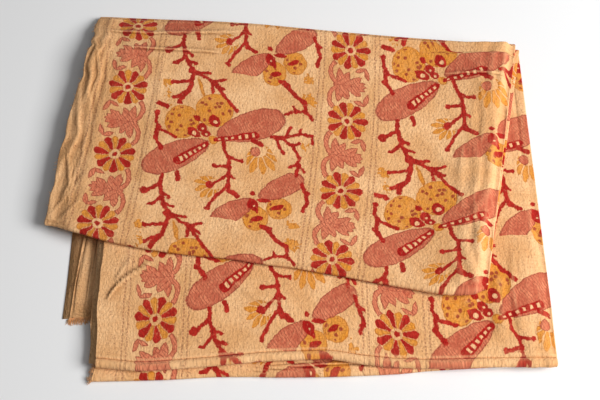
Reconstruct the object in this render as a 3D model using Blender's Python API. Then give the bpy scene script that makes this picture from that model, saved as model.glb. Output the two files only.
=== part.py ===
"""A block-printed cotton cloth, folded in half along its length and then back and forth across it.

The cloth is one sheet. Its lengthwise fold runs down the right side, so every panel is two sheets
thick, and the selvedges lie on the left. Seven panels lie on each other, joined by six crosswise
folds. The origin is under the middle of the folded stack, +Z is up and -Y is its front.
"""

import math
from collections import namedtuple

import bpy
import numpy as np

MM = 0.001

# The sheet
SHEET = 1.0 * MM
SHEET_GAP = 0.4 * MM
HALF_WIDTH = 440 * MM
BEND = (SHEET + SHEET_GAP) / 2

# The stack: the height of each panel's middle above what the cloth lies on, top panel first
PANEL = 2 * SHEET + SHEET_GAP
PANEL_GAP = 0.8 * MM
FLAP_GAP = 1.2 * MM
PANEL_NAMES = ("flap_top", "flap_under", "front_top", "front_under", "inner_top", "inner_under", "base")

# A crosswise line of the cloth, seen from above in millimetres: the point where it meets the
# lengthwise fold, how far it is turned clockwise, how far its middle bows out, how much more it
# bows near the lengthwise fold than near the selvedges, and how much wider than half the cloth its
# upper sheet is. The flap's free end comes first and the base's last.
Line = namedtuple("Line", "name right_x right_y turn_deg bow skew drift side")
BACK = 1
FRONT = -1
LINES = (
    Line("flap_back_end", 242.0, 154.7, 5.8, -2.5, -3.0, 24, BACK),
    Line("flap_front_fold", 187.5, -121.8, 9.3, 24.0, 13.0, 4, FRONT),
    Line("flap_back_fold", 246.5, 151.7, 5.8, -2.5, -3.0, 9, BACK),
    Line("front_fold", 248.5, -188.3, -1.2, -2.5, 0.0, 0, FRONT),
    Line("middle_back_fold", 223.5, 138.7, 1.0, 1.0, 0.0, 0, BACK),
    Line("low_front_fold", 249.0, -191.3, -1.9, 1.5, 0.0, -2, FRONT),
    Line("low_back_fold", 229.5, 141.2, 4.4, 1.0, 0.0, -8, BACK),
    Line("base_end", 218.5, -123.3, -3.2, 0.0, 0.0, -8, FRONT),
)

# The flap's free end rolls over the back of the stack and hangs
HANG_RADIUS = 6.0 * MM
HANG_ANGLE = 75.0
HANG_RUN_RIGHT = 9.0 * MM
HANG_RUN_LEFT = 1.5 * MM
HANG_ARC = (75.0, 50.0, 25.0)

# Where the panels above the base come down to the surface, in front of the base's end
STEP_BACK = -143.0 * MM
STEP_FRONT = -179.0 * MM
STEP_ROWS = (STEP_BACK, (STEP_BACK + STEP_FRONT) / 2, STEP_FRONT)

# The back left corner sinks past the ends of the lower panels, in two creases
CORNER_ROWS = (12 * MM, 24 * MM, 43 * MM)
CORNER_CREASES = ((0.0, 12.5 * MM), (24 * MM, 3.6 * MM), (43 * MM, 0.0))
CORNER_FADE_FROM = -221 * MM
CORNER_FADE_TO = -24 * MM

# The flap's left side sags where nothing carries it
SAG_FROM = -198 * MM
SAG_CURVE = 2.8

# Soft swellings of the sheets that lie uppermost: along the lengthwise fold, over the front fold,
# in long ripples by the flap's selvedge, and as low mounds, placed in millimetres
SIDE_PUFF = 2.4 * MM
SIDE_PUFF_AT = 16 * MM
SIDE_PUFF_REACH = 16 * MM
FRONT_PUFF_FROM = 17 * MM
FRONT_PUFF_FULL = -43 * MM
LIP_PUFF = 1.6 * MM
LIP_REACH = 14 * MM
SELVEDGE_RIPPLE = 1.6 * MM
SELVEDGE_RIPPLE_LENGTH = 34 * MM
SELVEDGE_RIPPLE_REACH = 62 * MM
SELVEDGE_RIPPLE_FADE = 1.4
Mound = namedtuple("Mound", "panel x y reach_x reach_y height")
MOUNDS = (
    Mound("flap_top", -113.0, 30.0, 70.0, 90.0, 1.1),
    Mound("flap_top", 32.0, -75.0, 80.0, 45.0, 1.5),
    Mound("flap_top", 102.0, 80.0, 80.0, 60.0, 1.0),
    Mound("front_top", -88.0, -155.0, 60.0, 28.0, 1.0),
    Mound("front_top", 157.0, -158.0, 60.0, 26.0, 1.3),
)

# The selvedges aren't quite straight
EDGE_WAVE = 1.2 * MM
EDGE_WAVE_LENGTH = 180 * MM
EDGE_WAVE_FROM = 0.4

# How finely the sheet is divided. COLUMNS are distances from the lengthwise fold, and past the last
# of them SELVEDGE_SHARES are shares of the way on to the selvedge. The other shares are rows, on
# the way from a panel's back to its front.
COLUMNS = tuple(d * MM for d in (360, 320, 275, 230, 185, 140, 95, 60, 31, 13, 0))
SELVEDGE_SHARES = (1.0, 0.81, 0.62, 0.40)
FLAP_SHARES = (0.35, 0.55, 0.75, 0.92)
PANEL_SHARES = (0.33, 0.6)
BEND_STEPS = 4
FOLD_STEPS = 4

CLOTH_COLOUR = (0.62, 0.42, 0.25, 1.0)


def panel_levels():
    """The height of each panel's middle, top panel first."""
    count = len(PANEL_NAMES)
    levels = [PANEL / 2 + i * (PANEL + PANEL_GAP) for i in range(count)]
    for i in range(count - 2, count):
        levels[i] += FLAP_GAP - PANEL_GAP
    return levels[::-1]


LEVELS = panel_levels()
BASE = len(PANEL_NAMES) - 1


def smooth(share):
    share = min(1.0, max(0.0, share))
    return share * share * (3 - 2 * share)


def line_directions(line):
    """The unit vectors along a line, away from the lengthwise fold, and out of the stack."""
    turn = math.radians(line.turn_deg)
    along = np.array([-math.cos(turn), math.sin(turn)])
    out = np.array([math.sin(turn), math.cos(turn)]) * line.side
    return along, out


def line_point(line, distance):
    """The point of a line at a distance from the lengthwise fold, seen from above."""
    along, out = line_directions(line)
    share = max(0.0, distance / HALF_WIDTH)
    bow = (line.bow + line.skew * (1 - 2 * share)) * MM * 4 * share * (1 - share)
    return np.array([line.right_x, line.right_y]) * MM + along * distance + out * bow


def half_width(line, upper):
    return HALF_WIDTH + line.drift * MM * (1 if upper else -1)


def table_height(table, distance):
    """A height read off a short table of (distance, height), in straight runs."""
    return float(np.interp(distance, [row[0] for row in table], [row[1] for row in table]))


def sink(panel, place):
    """How far below its level a panel lies at a place."""
    x, y = place
    name = PANEL_NAMES[panel]
    if panel == BASE:
        return 0.0
    step = (STEP_BACK - y) / (STEP_BACK - STEP_FRONT)
    low = (LEVELS[BASE - 1] - LEVELS[BASE]) * min(1.0, max(0.0, step))
    if name in ("flap_top", "flap_under", "front_top"):
        out = line_directions(LINES[0])[1]
        inside = float(np.dot(line_point(LINES[0], 0.0) - place, out))
        fade = smooth((CORNER_FADE_TO - x) / (CORNER_FADE_TO - CORNER_FADE_FROM))
        low += fade * table_height(CORNER_CREASES, max(0.0, inside))
    if name in ("flap_top", "flap_under"):
        low += SAG_CURVE * max(0.0, SAG_FROM - x) ** 2
    return low


def mounds(name, place):
    """How high the mounds of a panel stand at a place."""
    height = 0.0
    for mound in MOUNDS:
        if mound.panel == name:
            across = (place[0] / MM - mound.x) / mound.reach_x
            along = (place[1] / MM - mound.y) / mound.reach_y
            height += mound.height * MM * math.exp(-(across**2 + along**2))
    return height


def edge_wave(place, upper):
    """How far a selvedge wanders outwards at a place."""
    wave = math.sin(2 * math.pi * place[1] / EDGE_WAVE_LENGTH)
    return EDGE_WAVE * (wave if upper else -wave)


def swelling(panel, place, distance, width, to_front):
    """How far the upper sheet of a panel that lies uppermost stands off the one below it."""
    name = PANEL_NAMES[panel]
    if name not in ("flap_top", "front_top"):
        return 0.0
    side = SIDE_PUFF * math.exp(-(((distance - SIDE_PUFF_AT) / SIDE_PUFF_REACH) ** 2))
    side *= smooth(distance / SIDE_PUFF_AT)
    inside = smooth(distance / SIDE_PUFF_REACH) * smooth(to_front / LIP_REACH)
    lift = side + mounds(name, place) * inside
    if name == "front_top":
        lift *= smooth((FRONT_PUFF_FROM - place[1]) / (FRONT_PUFF_FROM - FRONT_PUFF_FULL))
        return lift + LIP_PUFF * smooth(1 - to_front / LIP_REACH)
    from_edge = width - distance
    ripple = 0.5 - 0.5 * math.cos(2 * math.pi * from_edge / SELVEDGE_RIPPLE_LENGTH)
    return lift + SELVEDGE_RIPPLE * ripple * smooth(SELVEDGE_RIPPLE_FADE - from_edge / SELVEDGE_RIPPLE_REACH)


def panel_shares(panel, back, front):
    """Where a panel's rows lie on one column, as shares of the way from its back to its front."""
    length = float(np.linalg.norm(front - back))
    name = PANEL_NAMES[panel]
    shares = []
    if name in ("flap_top", "flap_under", "front_top"):
        shares += [row / length for row in CORNER_ROWS]
    shares += FLAP_SHARES if name in ("flap_top", "flap_under") else PANEL_SHARES
    if name not in ("flap_top", "flap_under", "base"):
        shares += [(back[1] - y) / (back[1] - front[1]) for y in STEP_ROWS]
    return [0.0] + sorted(shares) + [1.0]


def column(distance_of, edge, upper):
    """One column of the cloth, from the flap's free end to the base's end.

    distance_of gives the column's distance from the lengthwise fold on a line, and edge is 1 on
    the selvedge. Each row is the point on the middle of the panel, the direction in which its face
    looks, and how far the upper sheet swells there.
    """
    rows = []
    ends = [line_point(line, distance_of(line)) for line in LINES]
    rows += hanging_rows(ends[0], distance_of(LINES[0]))
    for panel in range(len(PANEL_NAMES)):
        start, stop = ends[panel], ends[panel + 1]
        face = 1.0 if LINES[panel].side == BACK else -1.0
        back, front = (start, stop) if face > 0 else (stop, start)
        shares = panel_shares(panel, back, front)
        if face < 0:
            shares = shares[::-1]
        for share in shares:
            place = back + (front - back) * share
            height = LEVELS[panel] - sink(panel, place)
            distance = distance_of(LINES[panel]) * (1 - share) + distance_of(LINES[panel + 1]) * share
            to_front = float(np.linalg.norm(front - place))
            swell = swelling(panel, place, distance, half_width(LINES[panel], upper), to_front)
            place = place + line_directions(LINES[panel])[0] * edge_wave(place, upper) * edge
            rows.append((np.array([*place, height]), np.array([0.0, 0.0, face]), swell))
        if panel < BASE:
            rows += fold_rows(panel, rows[-1][0][:2], rows[-1][2])
    return rows


def hanging_rows(place, distance):
    """The rows of the flap's free end, from its edge up to the start of the flap."""
    out = line_directions(LINES[0])[1]
    share = max(0.0, distance / HALF_WIDTH)
    run = HANG_RUN_RIGHT + (HANG_RUN_LEFT - HANG_RUN_RIGHT) * share
    centre = np.array([*place, LEVELS[0] - sink(0, place) - HANG_RADIUS])
    rows = []
    for angle in HANG_ARC:
        turn = math.radians(angle)
        face = np.array([*(out * math.sin(turn)), math.cos(turn)])
        rows.append((centre + face * HANG_RADIUS, face, 0.0))
    turn = math.radians(HANG_ANGLE)
    down = np.array([*(out * math.cos(turn)), -math.sin(turn)])
    first, face, swell = rows[0]
    return [(first + down * run, face, swell)] + rows


def fold_rows(panel, place, swell):
    """The rows of the fold that joins a panel to the one below it."""
    line = LINES[panel + 1]
    out = line_directions(line)[1]
    top = LEVELS[panel] - sink(panel, place)
    bottom = LEVELS[panel + 1] - sink(panel + 1, place)
    radius = (top - bottom) / 2
    centre = np.array([*place, (top + bottom) / 2])
    outside = 1.0 if line.side == FRONT else -1.0
    rows = []
    for step in range(1, FOLD_STEPS):
        turn = math.pi * step / FOLD_STEPS
        way = np.array([*(out * math.sin(turn)), math.cos(turn)])
        rows.append((centre + way * radius, way * outside, swell * (1 + math.cos(turn)) / 2))
    return rows


def sheet_columns():
    """Each column of the sheet, from the upper selvedge round the lengthwise fold to the lower one.

    A column is a distance from the fold, the share of the way on from there to the selvedge, the
    angle round the fold's bend, from 90 degrees on the upper half to -90 on the lower one, and
    whether it is on the upper half.
    """
    half = [(COLUMNS[0], share) for share in SELVEDGE_SHARES]
    half += [(distance, 0.0) for distance in COLUMNS]
    upper = [(distance, share, 90.0, True) for distance, share in half]
    angles = [90.0 - 180.0 * step / BEND_STEPS for step in range(1, BEND_STEPS)]
    bend = [(0.0, 0.0, angle, angle > 0) for angle in angles]
    lower = [(distance, share, -90.0, False) for distance, share in reversed(half)]
    return upper + bend + lower


def surface(offset):
    """The points of the face at an offset from the middle of the sheet, in columns and rows."""
    reach = BEND + offset
    grid = []
    for inner, share, angle, upper in sheet_columns():
        turn = math.radians(angle)
        round_fold = reach * math.cos(turn)

        def distance_of(line):
            return inner + share * (half_width(line, upper) - inner) - round_fold

        above = math.sin(turn)
        edge = max(0.0, share - EDGE_WAVE_FROM) / (1 - EDGE_WAVE_FROM)
        points = []
        for middle, face, swell in column(distance_of, edge, upper):
            lift = swell * max(0.0, above)
            points.append(middle + face * (reach * above + lift))
        grid.append(points)
    return np.array(grid)


def cloth_mesh():
    """The closed sheet: its face, its wrong side, and the four edges between them."""
    face = surface(SHEET / 2)
    wrong = surface(-SHEET / 2)
    across, along = face.shape[:2]
    points = np.concatenate([face.reshape(-1, 3), wrong.reshape(-1, 3)])

    def face_at(i, j):
        return i * along + j

    def wrong_at(i, j):
        return across * along + i * along + j

    faces = []
    for i in range(across - 1):
        for j in range(along - 1):
            faces.append((face_at(i, j), face_at(i, j + 1), face_at(i + 1, j + 1), face_at(i + 1, j)))
            faces.append((wrong_at(i, j), wrong_at(i + 1, j), wrong_at(i + 1, j + 1), wrong_at(i, j + 1)))
    for j in range(along - 1):
        first, last = 0, across - 1
        faces.append((face_at(first, j), wrong_at(first, j), wrong_at(first, j + 1), face_at(first, j + 1)))
        faces.append((face_at(last, j + 1), wrong_at(last, j + 1), wrong_at(last, j), face_at(last, j)))
    for i in range(across - 1):
        first, last = 0, along - 1
        faces.append((face_at(i + 1, first), wrong_at(i + 1, first), wrong_at(i, first), face_at(i, first)))
        faces.append((face_at(i, last), wrong_at(i, last), wrong_at(i + 1, last), face_at(i + 1, last)))
    mesh = bpy.data.meshes.new("cloth")
    mesh.from_pydata(points.tolist(), [], faces)
    return mesh


def cotton():
    material = bpy.data.materials.new("printed_cotton")
    material.use_nodes = True
    shader = material.node_tree.nodes["Principled BSDF"]
    shader.inputs["Base Color"].default_value = CLOTH_COLOUR
    shader.inputs["Roughness"].default_value = 0.9
    shader.inputs["Metallic"].default_value = 0.0
    return material


def build():
    for old in list(bpy.data.objects):
        bpy.data.objects.remove(old)
    mesh = cloth_mesh()
    mesh.materials.append(cotton())
    cloth = bpy.data.objects.new("cloth", mesh)
    bpy.context.scene.collection.objects.link(cloth)


build()
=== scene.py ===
import math
import random

import bpy
import numpy as np
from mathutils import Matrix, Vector
from numpy.linalg import norm


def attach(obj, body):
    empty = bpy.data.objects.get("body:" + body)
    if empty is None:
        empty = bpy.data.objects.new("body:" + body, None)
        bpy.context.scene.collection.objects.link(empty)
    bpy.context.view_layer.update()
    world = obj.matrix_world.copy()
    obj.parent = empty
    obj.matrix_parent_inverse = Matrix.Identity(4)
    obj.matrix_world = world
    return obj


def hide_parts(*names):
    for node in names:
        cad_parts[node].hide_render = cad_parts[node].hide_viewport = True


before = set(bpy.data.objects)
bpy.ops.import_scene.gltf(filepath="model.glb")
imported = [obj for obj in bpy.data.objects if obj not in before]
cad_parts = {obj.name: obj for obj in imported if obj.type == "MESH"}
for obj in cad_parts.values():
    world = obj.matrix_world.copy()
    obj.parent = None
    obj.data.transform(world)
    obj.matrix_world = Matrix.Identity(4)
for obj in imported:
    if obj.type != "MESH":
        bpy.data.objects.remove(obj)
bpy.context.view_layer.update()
scene = bpy.context.scene
mm = 0.001

# The cloth is folded in half along its length, with the print outside, and then back and forth
# across it into seven panels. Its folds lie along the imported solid's, but for the flap's front
# fold, which lies up to 18 further back. Sizes are in millimetres until the mesh is made.
cloth = {
    "halfWidth": 440.0,
    "thickness": 0.7,
    "bend": 0.7,  # from the middle of a panel to the middle of each of its two sheets
    "levels": (20.8, 17.6, 14.0, 10.8, 7.6, 4.4, 1.2),  # each panel's middle, top panel first
    "rounding": 0.011,  # the share of a line over which its shape's corners are rounded
    "flat": (0.88, 2.32),  # metres
}

# Each crosswise line: where it meets the lengthwise fold, how far it is turned, its bow and skew,
# how much wider than half the cloth the first half is there, whether it lies at the back, and
# which of the shapes below it has
lineParts = ("x", "y", "turn", "bow", "skew", "drift", "side", "shape")
foldLines = [dict(zip(lineParts, line)) for line in (
    (242, 154.7, 5.8, -2.5, -3, 24, 1),
    (187.5, -121.8, 9.3, 0, 0, 4, -1, "flap"),
    (246.5, 151.7, 5.8, -2.5, -3, 9, 1),
    (248.5, -187.3, -1, 0, 0, 0, -1, "lip"),
    (223.5, 138.7, 1, 1, 0, 0, 1),
    (249, -191.3, -1.9, 1.5, 0, -6, -1, "lower"),
    (229.5, 141.2, 4.4, 1, 0, -8, 1),
    (218.5, -123.3, -3.2, 0, 0, -4, -1),
)]
# How far the front folds stand out from a straight line, by the share of the way across
lineShapes = {
    "flap": (
        (0, 0.05, 0.10, 0.17, 0.24, 0.30, 0.37, 0.43, 0.50, 0.57, 0.66, 0.76, 0.86, 0.94, 1),
        (0, 6.5, 10.4, 10.7, 11, 9.6, 9, 8.2, 9.6, 9, 11.8, 12.7, 10.4, 4.8, 0),
    ),
    "lip": (
        (0, 0.144, 0.227, 0.275, 0.358, 0.432, 0.483, 0.63, 0.745, 0.89, 1),
        (6.6, 5.7, 6.2, 6.2, 4.2, -0.1, -4.9, -3.6, 0.5, 4.2, -1.5),
    ),
    "lower": ((0, 0.27, 0.36, 0.48, 0.74, 0.83, 1), (-1, 1, 2.3, 2.6, 0, 1.6, 2)),
}
# What the print on the flap and on the front panel is measured from
flapPrintLine = dict(zip(lineParts, (187.5, -121.8, 9.3, 24, 13, 4, -1)))
frontPrintLine = dict(zip(lineParts, (248.5, -188.3, -1.2, -2.5, 0, 0, -1)))
flapTop, flapUnder, frontTop, frontUnder, innerTop, innerUnder, base = range(7)

# The flap's cut end rolls over the back of the stack and hangs
hang = {"radius": 6, "angle": 75, "step": 12.5, "run": (9, 1.5)}

# Where the stack sinks: past the base's end in front, and past the lower panels at the back left
sinks = {
    "step": (-143, -179), "stepDeep": 3.2,
    "cornerRows": (12, 24, 43), "cornerDeep": ((0, 24, 43), (12.5, 3.6, 0)),
    "cornerSpan": (-24, -221), "sagFrom": -198, "sagCurve": 0.0028,
}

# Soft swellings of the sheets that lie uppermost
puffs = {
    "side": 7.2, "sideReach": 12, "sideFall": 54, "uneven": 0.28, "lipReach": 14,
    "front": 0.35, "frontSpan": (17, -43), "dip": 1.2, "dipAt": (8.5, 2.2), "dipFrom": (20, 30),
    "ripple": 1.6, "rippleLength": 34, "rippleReach": 62,
    "baseFolds": 2.8, "baseFoldLength": 11, "baseFoldReach": 34, "baseFoldSteep": 0.14,
    # each mound: its panel, its middle, its reach both ways and its height
    "mounds": (
        (flapTop, -113, 30, 70, 90, 1.1), (flapTop, 32, -75, 80, 45, 1.5),
        (flapTop, 102, 80, 80, 60, 1), (frontTop, -88, -155, 60, 28, 1),
        (frontTop, 157, -158, 60, 26, 1.3),
    ),
}
# The rolled lips at the two front folds, with the groove behind each
lips = {
    "height": 2.6, "groove": 3.9, "behind": 0.75, "rise": 1.8, "fall": 24,
    "lowHeight": 2.4, "lowGroove": 6.5, "lowSpan": (-40, 130), "lowShare": 0.7,
}
# How the sheet's left edges waver and are drawn in. Each notch: its v, its reach and its depth
edges = {
    "from": 0.4, "wave": 1.2, "waveLength": 180, "wander": 1.3,
    "tuck": 6, "tuckUnder": 10, "tuckLow": 11, "tuckReach": 1.6,
    "corner": 6, "cornerReach": 17,
    "notches": ((18, 5, 3), (34, 4, 2.4), (74, 7, 2), (150, 9, 1.8), (206, 8, 2)),
}
paintedShadingGain = 3.0  # how soon a bend in the sheet shows as painted shade in grooves and painted highlight on ridges

# Where the print lies on the cloth: u runs from the first selvedge across, v from the flap's cut
# end along
printPlace = {
    "foldOnFlap": (467, -48, 19), "foldOnFront": 440.6, "foldUnder": 438,
    "stretch": 0.0278, "shrink": 0.95,
    "flapStart": (-22.6, 0.0296), "flapLength": ((0, 65, 160), (240, 242.5, 248.5)),
    "flapBend": (45, 160, 65.3, -0.127), "hidden": (15, 0.052, 0.006, 96, 16),
    "lip": (913.6, 0.0572, 6, 150),
}

# How finely the mesh is divided
grid = {
    "selvedgeSteps": 42, "selvedgePower": 1.3, "inner": 360, "middleStep": 5.2,
    "rightStep": 2.6, "rightFrom": 42, "lowerSteps": 6, "lowerColumns": 24, "bendSteps": 6,
    "outerFold": 8, "innerFold": 4, "leastGap": 0.4,
    # rows at distances from a panel's back or front fold: first, last and step, or each
    "flapBack": (1.6, 59, 1.4), "flapMiddle": (60, 30, 42), "flapFront": (2, 31, 2.3),
    "frontBack": (70, 110, 150), "frontFine": ((13.5, 150, 3), (42, 78, 3)),
    "frontLip": (1.2, 2.2, 3, 3.5, 3.9, 4.4, 5.1, 6, 7.6, 9.4, 11.4), "underLip": (4, 12),
    "lowLip": (1.5, 3.5, 5.5, 7.2, 8.3, 9, 9.7, 10.8, 13, 16, 20, 25), "hidden": 10,
}


def smooth(share):
    share = np.clip(share, 0.0, 1.0)
    return share * share * (3 - 2 * share)


def lineWays(line):
    turn = math.radians(line["turn"])
    along = np.array([-math.cos(turn), math.sin(turn)])
    out = np.array([math.sin(turn), math.cos(turn)]) * line["side"]
    return along, out


def linePoint(line, distance):
    along, out = lineWays(line)
    share = np.maximum(0.0, distance / cloth["halfWidth"])
    bow = (line["bow"] + line["skew"] * (1 - 2 * share)) * 4 * share * (1 - share)
    if "shape" in line:
        shares, offsets = lineShapes[line["shape"]]
        near = [share + k * cloth["rounding"] for k in range(-2, 3)]
        bow = bow + sum(np.interp(place, shares, offsets) for place in near) / len(near)
    start = np.array([line["x"], line["y"]])
    return start + distance[..., None] * along + bow[..., None] * out


def sinkAt(panel, place):
    x, y = place[..., 0], place[..., 1]
    if panel == base:
        return np.zeros_like(x)
    start, stop = sinks["step"]
    low = sinks["stepDeep"] * np.clip((start - y) / (start - stop), 0.0, 1.0)
    if panel <= frontTop:
        out = lineWays(foldLines[0])[1]
        inside = (foldLines[0]["x"] - x) * out[0] + (foldLines[0]["y"] - y) * out[1]
        start, stop = sinks["cornerSpan"]
        fade = smooth((start - x) / (start - stop))
        low = low + fade * np.interp(np.maximum(inside, 0.0), *sinks["cornerDeep"])
    if panel <= flapUnder:
        low = low + sinks["sagCurve"] * np.maximum(0.0, sinks["sagFrom"] - x) ** 2
    return low


def columnsOfSheet():
    # Each column: a distance from the lengthwise fold, the share of the way on to the selvedge,
    # the angle round the fold's bend, and whether it is on the first half
    inner, steps = grid["inner"], grid["selvedgeSteps"]
    shares = [1 - (i / steps) ** grid["selvedgePower"] for i in range(steps)]
    middle = np.arange(inner, grid["rightFrom"], -grid["middleStep"])
    right = np.arange(grid["rightFrom"], 0.0, -grid["rightStep"])
    columns = [(inner, share, 90.0, True) for share in shares]
    columns += [(d, 0.0, 90.0, True) for d in (*middle, *right, 0.0)]
    for i in range(1, grid["bendSteps"]):
        degrees = 90.0 - 180.0 * i / grid["bendSteps"]
        columns.append((0.0, 0.0, degrees, degrees > 0))
    columns += [(d, 0.0, -90.0, False) for d in np.linspace(0.0, inner, grid["lowerColumns"])]
    steps = grid["lowerSteps"]
    columns += [(inner, i / steps, -90.0, False) for i in range(1, steps + 1)]
    return [np.array(part) for part in zip(*columns)]


inner, shareOut, angle, onFirst = columnsOfSheet()
turn = np.radians(angle)
above = np.sin(turn)
roundFold = cloth["bend"] * np.cos(turn)
atEdge = np.maximum(0.0, shareOut - edges["from"]) / (1 - edges["from"])


def distanceOn(line):
    width = cloth["halfWidth"] + line["drift"] * np.where(onFirst, 1, -1)
    return inner + shareOut * (width - inner) - roundFold, width


def rowShares(panel, back, front):
    # The rows of a panel, as shares of the way from its back to its front on each column
    length = norm(front - back, axis=1)
    ones = np.ones_like(length)
    rows, fromBack, fromFront = [], (), ()
    if panel == flapTop:
        start, stop, steps = grid["flapMiddle"]
        for m in np.linspace(0.0, 1.0, steps)[1:-1]:
            rows.append(start / length + m * (1 - (start + stop) / length))
        fromBack = (*np.arange(*grid["flapBack"]), sinks["cornerRows"][2], start)
        fromFront = np.arange(*grid["flapFront"])
    elif panel == frontTop:
        fromBack = (*sinks["cornerRows"], *grid["frontBack"])
        fine = [d for span in grid["frontFine"] for d in np.arange(*span)]
        fromFront = (*fine, *grid["frontLip"])
    else:
        rows = [s * ones for s in np.linspace(0, 1, grid["hidden"])[1:-1]]
        if panel == flapUnder:
            fromBack = sinks["cornerRows"]
        if panel in (flapUnder, frontUnder):
            fromFront = grid["underLip"]
        if panel == innerTop:
            fromFront = grid["lowLip"]
    rows += [d / length for d in fromBack] + [1 - d / length for d in fromFront]
    if panel not in (flapTop, flapUnder, base):
        near, far = sinks["step"]
        for y in (near, (near + far) / 2, far):
            rows.append((back[:, 1] - y) / (back[:, 1] - front[:, 1]))
    return np.sort(np.stack([0 * ones] + rows + [ones]), axis=0)


def groovedLip(toFront, groove, height):
    # A rolled lip, the sharp groove behind it, and the soft rise behind that
    share = np.clip(toFront / np.maximum(groove, 0.1), 0, 1)
    lip = np.maximum(np.cos(share * math.pi / 2), 0.0) ** 0.5 * height
    behind = np.maximum(toFront - groove, 0.0)
    rise = lips["behind"] * height * smooth(behind / lips["rise"])
    return lip + rise * smooth(1 - (behind - lips["rise"]) / lips["fall"])


def softSwelling(panel, place, distance, width, toFront):
    x, y = place[..., 0], place[..., 1]
    if panel == innerTop:
        start, stop = lips["lowSpan"]
        way = np.clip((x - start) / (stop - start), 0, 1)
        groove = lips["lowGroove"] * np.sin(math.pi * way) ** 0.8
        height = lips["lowHeight"] * smooth(groove / 4.0)
        lift = lips["lowShare"] * groovedLip(toFront, groove, height)
        return lift * smooth((groove + 4.5 - toFront) / 3.0) * smooth(distance / 10)
    fromEdge = width - distance
    if panel == base:
        # steep on one side of each fold and gentle on the other
        wavy = fromEdge + 2.2 * np.sin(y / 23.0) + 1.1 * np.sin(y / 8.0 + 1.0)
        t = wavy / puffs["baseFoldLength"]
        t, steep = t - np.floor(t), puffs["baseFoldSteep"]
        folds = np.where(t < steep, smooth(t / steep), 1 - 0.75 * (t - steep) / (1 - steep))
        lift = puffs["baseFolds"] * folds
        lift = lift * smooth((puffs["baseFoldReach"] - fromEdge) / 6.0)
        return lift * smooth(toFront / 4)
    if panel not in (flapTop, frontTop):
        return np.zeros_like(distance)
    reach = puffs["sideReach"]
    fall = np.where(distance < reach, reach, puffs["sideFall"])
    uneven = 1 + puffs["uneven"] * slowWander(y / 34.0, y / 61.0, 4.0)
    lift = puffs["side"] * uneven * np.exp(-(((distance - reach) / fall) ** 2))
    lift = lift * smooth(distance / reach)
    inside = smooth(distance / reach) * smooth(toFront / puffs["lipReach"])
    for owner, cx, cy, rx, ry, height in puffs["mounds"]:
        if owner == panel:
            lift = lift + height * inside * np.exp(-(((x - cx) / rx) ** 2 + ((y - cy) / ry) ** 2))
    if panel == frontTop:
        start, full = puffs["frontSpan"]
        lift = puffs["front"] * lift * smooth((start - y) / (start - full))
        (middle, half), (start, reach) = puffs["dipAt"], puffs["dipFrom"]
        dip = puffs["dip"] * np.exp(-(((distance - middle) / half) ** 2))
        lift = lift - dip * smooth((y - start) / reach)
        return lift * smooth(toFront / 10) + groovedLip(toFront, lips["groove"], lips["height"])
    ripple = 0.5 - 0.5 * np.cos(2 * math.pi * fromEdge / puffs["rippleLength"])
    return lift + puffs["ripple"] * ripple * smooth(1.4 - fromEdge / puffs["rippleReach"])


def slowWander(a, b, seed):
    # A smooth unevenness between -1 and 1, from a few waves of unlike lengths
    total = 0.0
    for k in range(4):
        turnTo = seed * 1.7 + k * 2.1
        wave = a * math.cos(turnTo) * (1 + 0.4 * k) + b * math.sin(turnTo) * (1 + 0.3 * k)
        total = total + np.sin(wave + seed + k)
    return total / 4


# Creases: their points in the print's u and v, how high they stand, and their
# half width
creasesOnFlap = (
    (6, 13, 38, 10, 60, 9, 92, 4, 132, -1, 176, -7, 2.2, 1.6),
    (40, 32, 74, 29, 112, 25, 150, 22, 1.9, 1.5), (2, 20, 7, 40, 2, 60, 8, 84, 5, 112, 2, 2.4),
    (17, 26, 11, 46, 16, 70, 12, 98, 18, 130, 1.6, 2), (24, 44, 26, 90, 22, 130, 26, 168, 0.9, 1.6),
    (0, 112, 8, 140, 3, 172, 10, 204, 4, 232, 2.2, 2.6),
    (13, 138, 18, 168, 12, 200, 17, 236, 1.7, 2.2), (27, 186, 13, 212, -2, 240, 1.5, 2),
    (30, 212, 18, 232, 4, 252, 1.3, 2), (78, 20, 84, 70, 80, 120, 83, 190, 80, 250, 0.6, 2.6),
    (388, 16, 420, 13, 452, 14, 1.6, 1.6), (426, 16, 429, 60, 425, 104, 1.5, 3.2),
    (438, 50, 442, 100, 437, 150, 441, 200, 1.7, 3),
    (424, 120, 419, 160, 425, 200, 420, 236, 1.3, 3.4), (408, 90, 404, 130, 409, 176, 0.8, 3.4),
    (452, 20, 456, 70, 451, 120, 454, 170, 1.4, 3), (160, 190, 178, 214, 200, 228, 0.9, 6),
    (340, 70, 372, 92, 404, 120, 0.8, 7), (246, 30, 262, 60, 258, 110, 0.7, 2.6),
    (284, 132, 300, 170, 296, 214, 0.7, 3),
)
creasesOnFront = (
    (45, 834, 36, 841, 23, 850, 10, 861, 2, 870, -5, 882, 3.3, 1.7),
    (20, 836, 12, 846, 3, 862, 1.4, 1.6), (392, 830, 388, 862, 391, 898, 3, 5),
    (352, 836, 360, 862, 364, 898, 1.2, 4), (118, 852, 150, 872, 196, 880, 0.9, 4),
    (228, 846, 250, 866, 262, 892, 0.8, 3.6), (410, 800, 404, 850, 410, 896, 1.6, 3.6),
)

# How much a gap counts on a crease's steeper side, away from the light, and on its other side
creaseSides = (1.7, 0.8)
# Small waves, by the panel: their wavelength, wander and height beside the lengthwise fold, how far
# from it they reach, and two lengths and a seed for the unevenness all over the panel
smallWaves = {
    flapTop: (17, 1.1, (40, 28, 5), 1.2, 48, (26, 30, 3)),
    frontTop: (19, 0.6, (50, 30, 9), 1, 46, (24, 20, 7)),
}
# The ripples along the flap's bare margin
ripples = {"length": 12.5, "wander": 1.3, "height": 0.9, "from": 34, "reach": 22, "power": 1.3}
unevenLift = 0.35


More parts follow.
